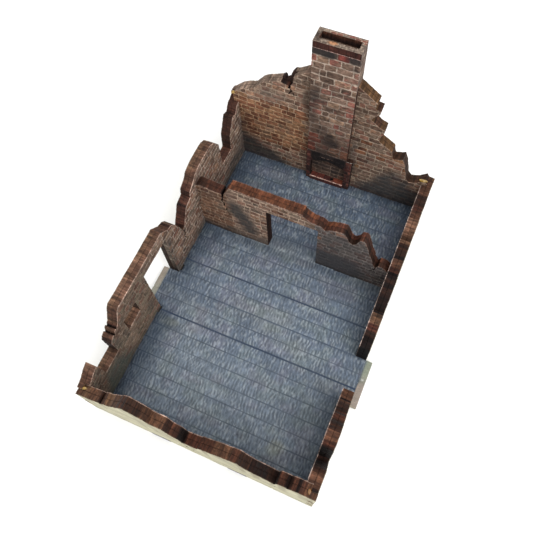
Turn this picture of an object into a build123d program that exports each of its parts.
from build123d import *
from collections import namedtuple
import os

# Miniature ruin for 28 mm figures: a roofless two-room cottage cut from 3 mm board and
# assembled with tabs, slots and finger joints. Every wall is two boards thick.
#
# Frame: origin at the centre of the footprint on the underside of the floor, +Z up,
# +Y towards the chimney gable (back), +X towards the low side wall (right).
# Dimensions are in room coordinates: X = 0 at the inner face of the high left wall,
# Y = 0 at the inner face of the front wall, Z = 0 at the floor top; to_frame() converts.
# A pair is a span (from, to) along one axis; a box is three spans, X, Y and Z.

# Board and room
SKIN = 3.0
FLOOR_T = 3.0
ROOM_W = 108.0                 # clear width between the side walls
ROOM_L = 168.0                 # clear length between the front wall and the gable
WALL = 2 * SKIN
FLOOR_Z = (-FLOOR_T, 0.0)

# Doors and window
LEFT_DOOR_Y = (56.0, 78.4)
LEFT_DOOR_H = 39.5
RIGHT_DOOR_Y = (48.6, 71.0)    # full-height gap in the right wall
WINDOW_Y = (32.9, 44.3)        # in the left wall
WINDOW_Z = (22.7, 33.8)

# Partition
PART_Y = (112.7, 112.7 + WALL)
PART_DOOR_X = (40.0, 68.8)
PART_DOOR_H = 38.0
PART_LEFT_TAB_Z = (10.0, 24.0)   # end tabs in the side walls
PART_RIGHT_TAB_Z = (5.0, 14.0)

# Plank seams engraved across the floor
PLANK = 8.27                   # pitch
FIRST_SEAM = 4.8
SEAM_COUNT = 20
SEAM_W, SEAM_D = 0.4, 0.25
WIDE_SEAMS = (6, 10)           # seams cut wider and deeper, by index
WIDE_W, WIDE_D = 0.6, 0.4
SEAM_MARGIN = 0.5              # no seam this close to the partition

# Fireplace
SURROUND_X = (42.0, 68.9)
SURROUND_H = 26.4
HEARTH_X = (44.6, 65.2)        # fireplace opening
ARCH_SPRING, ARCH_CROWN = 16.8, 20.6
HEARTH_H = 3.3
HEARTH_LIP = 0.7               # how far the kerb stands in front of the surround
GROOVE_X = (57.2, 58.8)        # groove in the top of the kerb
GROOVE_START, GROOVE_D = 0.8, 1.6

# Chimney
CHIMNEY_X = (42.5, 65.6)
BREAST_Y = (ROOM_L - SKIN, ROOM_L)   # one board proud of the gable
CHIMNEY_TOP = 106.3
CAP_T = 3.9
CAP_BASE = CHIMNEY_TOP - CAP_T
CAP_SLOT_Y = (167.6, 171.9)    # flue slot through the cap
CAP_SOCKET = 2.0               # height of the cheeks inside the cap
FLUE_Z = 80.0                  # bottom of the flue pocket
CHEEK_BASE = FLUE_Z - 5.0      # the cheeks are let into the inner gable board
CHEEK_T = 2.2
FLUE_X = (CHIMNEY_X[0] + CHEEK_T, CHIMNEY_X[1] - CHEEK_T)
CHEEKS_X = [(CHIMNEY_X[0], FLUE_X[0]), (FLUE_X[1], CHIMNEY_X[1])]
# The tab under the breast, let into the top of the surround
BREAST_TAB = ((50, 58), BREAST_Y, (SURROUND_H - 3, SURROUND_H))

# Doorsteps
STEP_D = 3.5
LEFT_STEP_Y = (52.4, LEFT_DOOR_Y[1])
RIGHT_STEP_Y = (45.4, RIGHT_DOOR_Y[1])

# Finger joints: number of bands at each corner, counted from the foot of the boards
FINGER = 9.0
FRONT_LEFT_FINGERS, FRONT_RIGHT_FINGERS, BACK_LEFT_FINGERS = 3, 5, 5
CORNER_CLEAR = 60.0            # side boards are cleared above the joint up to this height

# Tabs of the inner boards through the floor
LEFT_DOOR_TABS = [(52.2, 56.0), (79.6, 83.4)]
DOOR_SLOT_EXTRA = 0.9          # their slots reach this far into the room
LEFT_TABS = [(12, 24), *LEFT_DOOR_TABS, (97, 107), (128, 140), (157, 165)]
RIGHT_FRONT_TABS = [(8, 18), (30, 40)]
RIGHT_REAR_TABS = [(78, 90), (124, 136), (150, 162)]
FRONT_TABS = [(12, 24), (48, 60), (84, 96)]
BACK_TABS = [(8, 20), (28, 38), (86, 98)]
PART_TABS = [(10, 22), (80, 92)]
SURROUND_TABS = [(42.2, 44.4), (65.8, 68.4)]
HEARTH_TABS = [(50, 60)]

# Edge tabs of the floor in the outer boards
FLOOR_FRONT_TABS = [(28, 38), (70, 80)]
FLOOR_BACK_TABS = [(24, 34), (72, 82)]
FLOOR_LEFT_TABS = [(26, 36), (112, 122)]
FLOOR_RIGHT_TABS = [(20, 30), (104, 114)]

# Broken top edges: (distance along the wall, height above the floor)
LEFT_TOP = [
    (-6.4, 28.4), (-4.0, 29.0), (-3.6, 30.9), (-1.0, 31.6), (2.1, 33.0), (4.6, 34.9),
    (8.4, 36.5), (9.0, 29.7), (9.3, 21.8), (21.4, 21.8), (21.1, 33.0), (22.4, 35.2),
    (24.6, 36.3), (25.3, 34.3), (25.9, 36.2), (26.5, 37.7), (27.4, 38.0), (27.9, 36.2),
    (28.5, 37.9), (29.6, 38.4), (31.0, 41.3), (33.3, 46.1), (35.0, 48.0), (59.6, 47.8),
    (77.2, 48.0), (79.6, 45.4), (82.2, 42.5), (85.5, 41.6), (88.2, 38.2), (91.0, 30.5),
    (92.4, 25.8), (93.3, 23.2), (96.7, 29.0), (99.3, 33.5), (100.6, 35.9), (106.1, 37.6),
    (106.8, 41.6), (109.8, 43.2), (112.0, 44.7), (114.6, 47.3), (119.6, 48.5), (126.6, 48.9),
    (133.0, 48.5), (136.4, 46.6), (138.4, 43.5), (141.0, 39.7), (141.2, 20.4), (152.9, 20.4),
    (153.6, 31.5), (155.6, 34.6), (158.0, 39.1), (159.4, 41.3), (161.1, 40.8), (162.8, 39.8),
    (164.4, 42.3), (165.8, 44.2), (168.0, 44.7), (171.0, 46.0), (174.4, 46.5),
]
FRONT_TOP = [
    (-6.4, 28.4), (-3.0, 30.0), (0.0, 31.5), (5.0, 34.0), (9.4, 37.6), (10.2, 36.2),
    (14.2, 42.5), (17.0, 44.0), (19.6, 49.0), (24.2, 55.5), (27.2, 61.8), (30.6, 65.6),
    (33.6, 62.4), (37.0, 57.0), (38.6, 50.8), (44.8, 50.4), (46.0, 41.2), (49.6, 37.0),
    (50.4, 28.6), (58.4, 32.6), (60.0, 37.8), (65.8, 43.2), (71.6, 48.8), (75.4, 50.4),
    (76.4, 53.2), (79.8, 54.0), (82.4, 46.8), (86.0, 42.0), (91.6, 40.4), (94.8, 37.4),
    (95.8, 36.8), (97.2, 45.2), (99.6, 47.4), (101.6, 45.4), (103.2, 48.0), (106.0, 50.2),
    (108.0, 49.6), (111.0, 50.4), (114.4, 50.0),
]
RIGHT_FRONT_TOP = [
    (-6.4, 50.0), (-3.0, 50.8), (0.0, 50.4), (3.6, 52.0), (6.6, 49.4), (8.2, 43.0),
    (10.6, 33.6), (12.6, 26.4), (14.1, 27.2), (14.5, 49.6), (18.0, 53.2), (22.6, 53.8),
    (25.8, 50.2), (27.4, 45.6), (31.0, 42.2), (33.4, 35.2), (37.6, 31.4), (41.0, 26.6),
    (41.8, 22.8), (45.4, 19.6), (48.9, 17.0),
]
RIGHT_REAR_TOP = [
    (70.6, 17.0), (74.2, 17.6), (78.0, 20.6), (83.4, 21.2), (89.6, 22.6), (91.4, 19.8),
    (96.8, 23.2), (102.6, 26.8), (107.8, 29.6), (109.8, 24.8), (113.0, 24.0), (118.4, 27.8),
    (124.2, 29.0), (129.8, 28.4), (131.0, 24.0), (134.8, 29.8), (142.2, 30.8), (143.4, 26.8),
    (150.2, 26.0), (156.6, 27.8), (162.8, 25.2), (168.0, 24.2), (171.0, 26.4), (174.4, 25.4),
]
GABLE_LEFT_TOP = [
    (-6.4, 47.0), (-4.8, 49.6), (-3.4, 50.5), (-1.4, 52.6), (1.6, 55.3), (5.7, 57.7),
    (9.7, 59.2), (11.7, 61.8), (13.7, 64.5), (16.6, 66.7), (19.6, 68.2), (24.6, 70.4),
    (25.6, 71.0), (26.1, 70.0), (27.6, 69.6), (29.4, 69.4), (30.3, 68.4), (31.2, 70.6),
    (32.2, 72.6), (32.3, 75.9), (33.9, 78.0), (36.1, 79.6), (38.6, 81.5), (42.5, 83.5),
]
# The outer gable board has a shallower bite behind the inner board's notch
NOTCH_X = (25.0, 33.0)
OUTER_BITE = [
    (26.5, 72.0), (27.5, 70.2), (29.0, 70.9), (29.6, 72.0), (30.2, 75.0), (31.8, 77.4),
]
GABLE_LEFT_OUTER_TOP = [
    *(point for point in GABLE_LEFT_TOP if point[0] < NOTCH_X[0]),
    *OUTER_BITE,
    *(point for point in GABLE_LEFT_TOP if point[0] > NOTCH_X[1]),
]
GABLE_RIGHT_TOP = [
    (65.6, 83.1), (76.1, 75.4), (75.5, 72.9), (75.2, 71.4), (78.4, 71.0), (78.2, 68.7),
    (76.1, 66.5), (74.1, 63.0), (75.8, 61.9), (78.6, 59.4), (82.2, 58.2), (82.1, 55.0),
    (80.9, 53.1), (80.4, 49.7), (80.8, 48.2), (83.7, 46.5), (88.2, 43.7), (89.0, 39.8),
    (89.7, 37.7), (93.1, 38.9), (94.9, 40.1), (96.7, 35.8), (98.1, 30.0), (99.2, 24.9),
    (101.2, 22.3), (103.7, 23.2), (105.7, 24.3), (109.4, 28.2), (110.6, 25.9), (114.4, 25.3),
]
PART_TOP = [
    (0.0, 40.4), (3.2, 41.0), (6.7, 40.7), (10.5, 39.7), (14.6, 40.0), (14.8, 35.1),
    (15.4, 36.1), (16.3, 40.9), (19.9, 48.2), (25.7, 48.4), (32.7, 47.9), (39.7, 48.2),
    (49.7, 47.9), (59.7, 48.3), (61.4, 45.8), (64.7, 43.7), (69.7, 43.2), (72.3, 40.7),
    (74.7, 42.3), (78.0, 43.9), (82.3, 44.3), (83.9, 41.5), (85.1, 38.2), (87.1, 36.1),
    (88.9, 38.2), (90.5, 42.7), (92.6, 43.6), (93.9, 41.9), (95.2, 37.7), (96.8, 32.0),
    (98.5, 27.9), (99.9, 22.6), (101.4, 19.9), (102.6, 23.0), (104.7, 23.1), (106.4, 21.9),
    (108.0, 20.3),
]

# The two rings of wall boards: thickness spans of the four walls, height of the foot,
# and the finger count at the back right corner
Layer = namedtuple("Layer", "left right front back base back_right_fingers")


def make_layer(inset, base, back_right_fingers):
    near = (-inset - SKIN, -inset)
    right = (ROOM_W + inset, ROOM_W + inset + SKIN)
    back = (ROOM_L + inset, ROOM_L + inset + SKIN)
    return Layer(near, right, near, back, base, back_right_fingers)


INNER = make_layer(0.0, 0.0, 2)           # stands on the floor
OUTER = make_layer(SKIN, -FLOOR_T, 3)     # reaches the table


# --- Helpers ---

def to_frame(x, y, z):
    return Vector(x - ROOM_W / 2, y - ROOM_L / 2, z + FLOOR_T)


def box(x_span, y_span, z_span):
    spans = (x_span, y_span, z_span)
    low = to_frame(*(start for start, _ in spans))
    size = [end - start for start, end in spans]
    return Pos(low.X, low.Y, low.Z) * Box(*size, align=(Align.MIN, Align.MIN, Align.MIN))


def single_solid(shape):
    solids = shape.solids()
    if len(solids) != 1:
        raise ValueError("expected one solid, got %d" % len(solids))
    return solids[0]


def cut(shape, boxes):
    for spans in boxes:
        shape = shape - box(*spans)
    return shape


def add(shape, boxes):
    for spans in boxes:
        shape = shape + box(*spans)
    return shape


def piece(blank, cuts=(), tabs=()):
    return single_solid(add(cut(blank, cuts), tabs))


def skin(layer, blank, cuts, tabs, notches):
    """Wall board: an inner one gets tabs, an outer one notches for the floor's tabs."""
    if layer is INNER:
        return piece(blank, cuts, tabs)
    return piece(blank, cuts + notches)


def floor_boxes_x(x_spans, y_span):
    return [(x_span, y_span, FLOOR_Z) for x_span in x_spans]


def floor_boxes_y(x_span, y_spans):
    return [(x_span, y_span, FLOOR_Z) for y_span in y_spans]


def clip(top, start, end):
    """Part of a broken edge between start and end, cut square at both ends."""
    points = []
    for (x0, z0), (x1, z1) in zip(top, top[1:]):
        if not points and x0 < start <= x1:
            points.append((start, z0 + (z1 - z0) * (start - x0) / (x1 - x0)))
        elif not points and x0 == start:
            points.append((x0, z0))
        if points and start < x1 < end:
            points.append((x1, z1))
        if points and x0 < end <= x1:
            points.append((end, z0 + (z1 - z0) * (end - x0) / (x1 - x0)))
            break
    return points


def outline(top, start, end, base):
    return [(start, base), *clip(top, start, end), (end, base)]


def board_across(points, y_start):
    """Board in the XZ plane from (X, height) points, front face at y_start."""
    wire = Wire.make_polygon([to_frame(x, y_start, z) for x, z in points], close=True)
    return Solid.extrude(Face(wire), Vector(0, SKIN, 0))


def board_along(points, x_start):
    """Board in the YZ plane from (Y, height) points, left face at x_start."""
    wire = Wire.make_polygon([to_frame(x_start, y, z) for y, z in points], close=True)
    return Solid.extrude(Face(wire), Vector(SKIN, 0, 0))


def bands(base, count, first):
    """Every second finger band, from index first."""
    return [(base + i * FINGER, base + (i + 1) * FINGER) for i in range(first, count, 2)]


def side_corner(layer, x_span, y_span, count):
    """Cuts in a side board: even bands, and all above the joint."""
    above = (layer.base + count * FINGER, CORNER_CLEAR)
    return [(x_span, y_span, band) for band in bands(layer.base, count, 0) + [above]]


def cross_corner(layer, x_span, y_span, count):
    """Cuts in a front or back board: odd bands."""
    return [(x_span, y_span, band) for band in bands(layer.base, count, 1)]


# --- Walls ---

def left_wall(layer):
    x, base = layer.left, layer.base
    blank = board_along(outline(LEFT_TOP, layer.front[0], layer.back[1], base), x[0])
    cuts = [(x, LEFT_DOOR_Y, (base, LEFT_DOOR_H)), (x, WINDOW_Y, WINDOW_Z)]
    if layer is INNER:
        cuts.append((x, PART_Y, PART_LEFT_TAB_Z))
    cuts += side_corner(layer, x, layer.front, FRONT_LEFT_FINGERS)
    cuts += side_corner(layer, x, layer.back, BACK_LEFT_FINGERS)
    return skin(layer, blank, cuts,
                floor_boxes_y(x, LEFT_TABS), floor_boxes_y(x, FLOOR_LEFT_TABS))


def right_wall_front(layer):
    x = layer.right
    points = outline(RIGHT_FRONT_TOP, layer.front[0], RIGHT_DOOR_Y[0], layer.base)
    cuts = side_corner(layer, x, layer.front, FRONT_RIGHT_FINGERS)
    return skin(layer, board_along(points, x[0]), cuts,
                floor_boxes_y(x, RIGHT_FRONT_TABS), floor_boxes_y(x, FLOOR_RIGHT_TABS[:1]))


def right_wall_rear(layer):
    x = layer.right
    points = outline(RIGHT_REAR_TOP, RIGHT_DOOR_Y[1], layer.back[1], layer.base)
    cuts = [(x, PART_Y, PART_RIGHT_TAB_Z)] if layer is INNER else []
    cuts += side_corner(layer, x, layer.back, layer.back_right_fingers)
    return skin(layer, board_along(points, x[0]), cuts,
                floor_boxes_y(x, RIGHT_REAR_TABS), floor_boxes_y(x, FLOOR_RIGHT_TABS[1:]))


def front_wall(layer):
    y = layer.front
    points = outline(FRONT_TOP, layer.left[0], layer.right[1], layer.base)
    cuts = cross_corner(layer, layer.left, y, FRONT_LEFT_FINGERS)
    cuts += cross_corner(layer, layer.right, y, FRONT_RIGHT_FINGERS)
    return skin(layer, board_across(points, y[0]), cuts,
                floor_boxes_x(FRONT_TABS, y), floor_boxes_x(FLOOR_FRONT_TABS, y))


def back_wall(layer):
    """Gable: the inner board stops under the flue, the outer one backs the chimney."""
    y = layer.back
    start, end = layer.left[0], layer.right[1]
    left_top, chimney_z = GABLE_LEFT_OUTER_TOP, CAP_BASE
    if layer is INNER:
        left_top, chimney_z = GABLE_LEFT_TOP, FLUE_Z
    points = [
        (start, layer.base),
        *clip(left_top, start, CHIMNEY_X[0]),
        (CHIMNEY_X[0], chimney_z),
        (CHIMNEY_X[1], chimney_z),
        *clip(GABLE_RIGHT_TOP, CHIMNEY_X[1], end),
        (end, layer.base),
    ]
    cuts = cross_corner(layer, layer.left, y, BACK_LEFT_FINGERS)
    cuts += cross_corner(layer, layer.right, y, layer.back_right_fingers)
    if layer is INNER:
        cuts += [(cheek_x, y, (CHEEK_BASE, FLUE_Z)) for cheek_x in CHEEKS_X]
    return skin(layer, board_across(points, y[0]), cuts,
                floor_boxes_x(BACK_TABS, y), floor_boxes_x(FLOOR_BACK_TABS, y))


def partition(y_start):
    y = (y_start, y_start + SKIN)
    blank = board_across([(0, 0), *PART_TOP, (ROOM_W, 0)], y_start)
    tabs = [(INNER.left, y, PART_LEFT_TAB_Z), (INNER.right, y, PART_RIGHT_TAB_Z)]
    return piece(blank, [(PART_DOOR_X, y, (0, PART_DOOR_H))],
                 tabs + floor_boxes_x(PART_TABS, y))


# --- Floor ---

def seams():
    """Cuts for the plank seams, carried out over the tongues in the doorways."""
    cuts = []
    for i in range(SEAM_COUNT):
        y = FIRST_SEAM + i * PLANK
        if PART_Y[0] - SEAM_MARGIN < y < PART_Y[1] + SEAM_MARGIN:
            continue
        width, depth = (WIDE_W, WIDE_D) if i in WIDE_SEAMS else (SEAM_W, SEAM_D)
        x0 = -WALL if LEFT_DOOR_Y[0] < y < LEFT_DOOR_Y[1] else 0.0
        x1 = ROOM_W + WALL if RIGHT_DOOR_Y[0] < y < RIGHT_DOOR_Y[1] else ROOM_W
        cuts.append(((x0, x1), (y - width / 2, y + width / 2), (-depth, 0)))
    return cuts


def floor_panel():
    panel = box((INNER.left[0], INNER.right[1]), (INNER.front[0], INNER.back[1]), FLOOR_Z)
    # Door tongues and edge tabs
    panel = add(panel, [
        (OUTER.left, LEFT_DOOR_Y, FLOOR_Z),
        (OUTER.right, RIGHT_DOOR_Y, FLOOR_Z),
        *floor_boxes_y(OUTER.left, FLOOR_LEFT_TABS),
        *floor_boxes_y(OUTER.right, FLOOR_RIGHT_TABS),
        *floor_boxes_x(FLOOR_FRONT_TABS, OUTER.front),
        *floor_boxes_x(FLOOR_BACK_TABS, OUTER.back),
    ])
    for tab in LEFT_TABS:
        extra = DOOR_SLOT_EXTRA if tab in LEFT_DOOR_TABS else 0.0
        panel = panel - box((-SKIN, extra), tab, FLOOR_Z)
    return piece(panel, [
        *floor_boxes_y(INNER.right, RIGHT_FRONT_TABS + RIGHT_REAR_TABS),
        *floor_boxes_x(FRONT_TABS, INNER.front),
        *floor_boxes_x(BACK_TABS, INNER.back),
        *floor_boxes_x(PART_TABS, PART_Y),
        *floor_boxes_x(SURROUND_TABS + HEARTH_TABS, BREAST_Y),
        *seams(),
    ])


# --- Fireplace and chimney ---

def fireplace_surround():
    """Board with a segmental arch over the opening."""
    (left, right), (open_left, open_right) = SURROUND_X, HEARTH_X
    profile = [
        (open_right, ARCH_SPRING), (open_right, 0), (right, 0), (right, SURROUND_H),
        (left, SURROUND_H), (left, 0), (open_left, 0), (open_left, ARCH_SPRING),
    ]
    points = [to_frame(x, BREAST_Y[0], z) for x, z in profile]
    crown = to_frame((open_left + open_right) / 2, BREAST_Y[0], ARCH_CROWN)
    edges = [Edge.make_line(a, b) for a, b in zip(points, points[1:])]
    edges.append(Edge.make_three_point_arc(points[-1], crown, points[0]))
    board = Solid.extrude(Face(Wire(edges)), Vector(0, SKIN, 0))
    board = add(board, floor_boxes_x(SURROUND_TABS, BREAST_Y))
    return piece(board, [BREAST_TAB])


def hearth_kerb():
    """Kerb between the legs of the surround."""
    front, back = BREAST_Y
    blank = box(HEARTH_X, (front - HEARTH_LIP, back), (0, HEARTH_H))
    groove = (GROOVE_X, (front + GROOVE_START, back), (HEARTH_H - GROOVE_D, HEARTH_H))
    return piece(blank, [groove], floor_boxes_x(HEARTH_TABS, BREAST_Y))


def chimney_breast():
    return piece(box(CHIMNEY_X, BREAST_Y, (SURROUND_H, CAP_BASE)), tabs=[BREAST_TAB])


def chimney_cheek(x_span):
    return piece(box(x_span, INNER.back, (CHEEK_BASE, CAP_BASE + CAP_SOCKET)))


def chimney_cap():
    """Closed ring, socketed underneath over the tops of the cheeks."""
    cap_z = (CAP_BASE, CHIMNEY_TOP)
    socket_z = (CAP_BASE, CAP_BASE + CAP_SOCKET)
    return piece(box(CHIMNEY_X, (BREAST_Y[0], OUTER.back[1]), cap_z), [
        (FLUE_X, CAP_SLOT_Y, cap_z),
        *((cheek_x, INNER.back, socket_z) for cheek_x in CHEEKS_X),
    ])


def doorstep(x_start, y_span):
    return piece(box((x_start, x_start + STEP_D), y_span, FLOOR_Z))


parts = {
    "floor_panel": floor_panel(),
    "partition_front_skin": partition(PART_Y[0]),
    "partition_rear_skin": partition(PART_Y[0] + SKIN),
    "chimney_breast": chimney_breast(),
    "chimney_left_cheek": chimney_cheek(CHEEKS_X[0]),
    "chimney_right_cheek": chimney_cheek(CHEEKS_X[1]),
    "chimney_cap": chimney_cap(),
    "fireplace_surround": fireplace_surround(),
    "hearth_kerb": hearth_kerb(),
    "left_doorstep": doorstep(-WALL - STEP_D, LEFT_STEP_Y),
    "right_doorstep": doorstep(ROOM_W + WALL, RIGHT_STEP_Y),
}
for wall in (front_wall, back_wall, left_wall, right_wall_front, right_wall_rear):
    parts[wall.__name__ + "_inner_skin"] = wall(INNER)
    parts[wall.__name__ + "_outer_skin"] = wall(OUTER)

os.makedirs("parts", exist_ok=True)
for name, shape in parts.items():
    export_step(shape, "parts/%s.step" % name)
